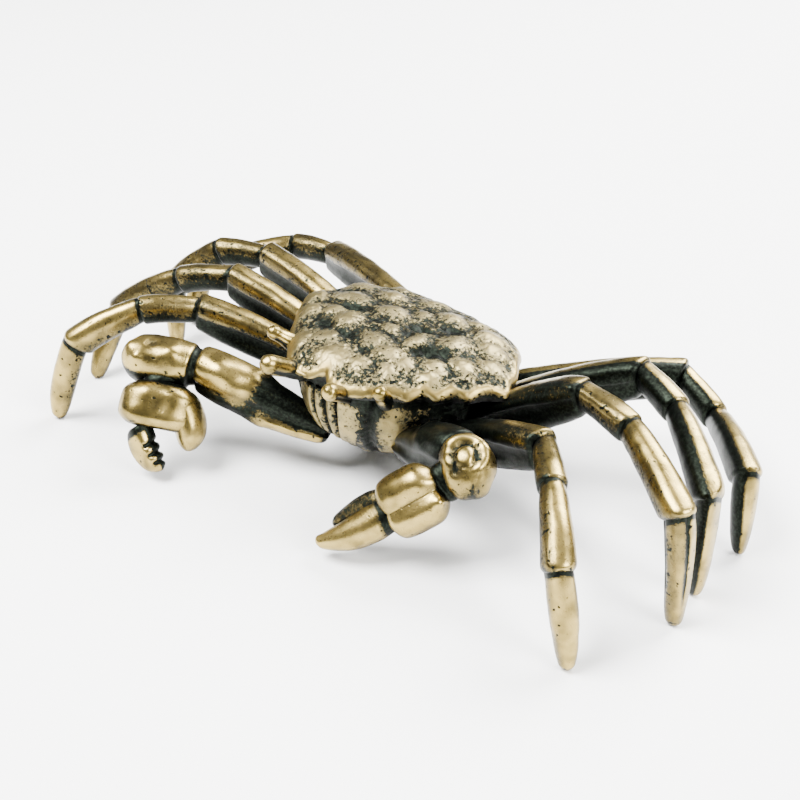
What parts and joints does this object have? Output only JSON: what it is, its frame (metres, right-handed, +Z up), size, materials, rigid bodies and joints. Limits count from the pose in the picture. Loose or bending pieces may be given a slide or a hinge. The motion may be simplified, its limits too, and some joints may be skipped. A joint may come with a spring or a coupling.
{
  "type": "crab figurine",
  "caption": "Cast brass crab ornament that stands on the tips of its jointed legs, with both claws held low ahead of a broad toothed and bossed carapace.",
  "frame": {"origin": "on the ground under the middle of the crab's bounding box", "axes": "+X towards the crab's left, the way its legs spread; -Y ahead of it; +Z up"},
  "size_m": [0.0809, 0.0426, 0.017],
  "materials": {
    "antique_brass": "cast, patinated and rubbed back to gold on the high spots"
  },
  "bodies": {
    "root": {"body": "antique_brass", "carapace": "antique_brass", "left_brow_spine": "antique_brass", "left_claw_arm": "antique_brass", "left_claw_finger": "antique_brass", "left_claw_palm": "antique_brass", "left_claw_wrist": "antique_brass", "left_eye": "antique_brass", "left_leg_1_knee": "antique_brass", "left_leg_1_shin": "antique_brass", "left_leg_1_thigh": "antique_brass", "left_leg_1_toe": "antique_brass", "left_leg_2_knee": "antique_brass", "left_leg_2_shin": "antique_brass", "left_leg_2_thigh": "antique_brass", "left_leg_2_toe": "antique_brass", "left_leg_3_knee": "antique_brass", "left_leg_3_shin": "antique_brass", "left_leg_3_thigh": "antique_brass", "left_leg_3_toe": "antique_brass", "left_leg_4_knee": "antique_brass", "left_leg_4_shin": "antique_brass", "left_leg_4_thigh": "antique_brass", "left_leg_4_toe": "antique_brass", "left_mouth_plate": "antique_brass", "right_brow_spine": "antique_brass", "right_claw_arm": "antique_brass", "right_claw_finger": "antique_brass", "right_claw_palm": "antique_brass", "right_claw_wrist": "antique_brass", "right_eye": "antique_brass", "right_leg_1_knee": "antique_brass", "right_leg_1_shin": "antique_brass", "right_leg_1_thigh": "antique_brass", "right_leg_1_toe": "antique_brass", "right_leg_2_knee": "antique_brass", "right_leg_2_shin": "antique_brass", "right_leg_2_thigh": "antique_brass", "right_leg_2_toe": "antique_brass", "right_leg_3_knee": "antique_brass", "right_leg_3_shin": "antique_brass", "right_leg_3_thigh": "antique_brass", "right_leg_3_toe": "antique_brass", "right_leg_4_knee": "antique_brass", "right_leg_4_shin": "antique_brass", "right_leg_4_thigh": "antique_brass", "right_leg_4_toe": "antique_brass", "right_mouth_plate": "antique_brass", "tail_flap": "antique_brass"}
  },
  "joints": []
}
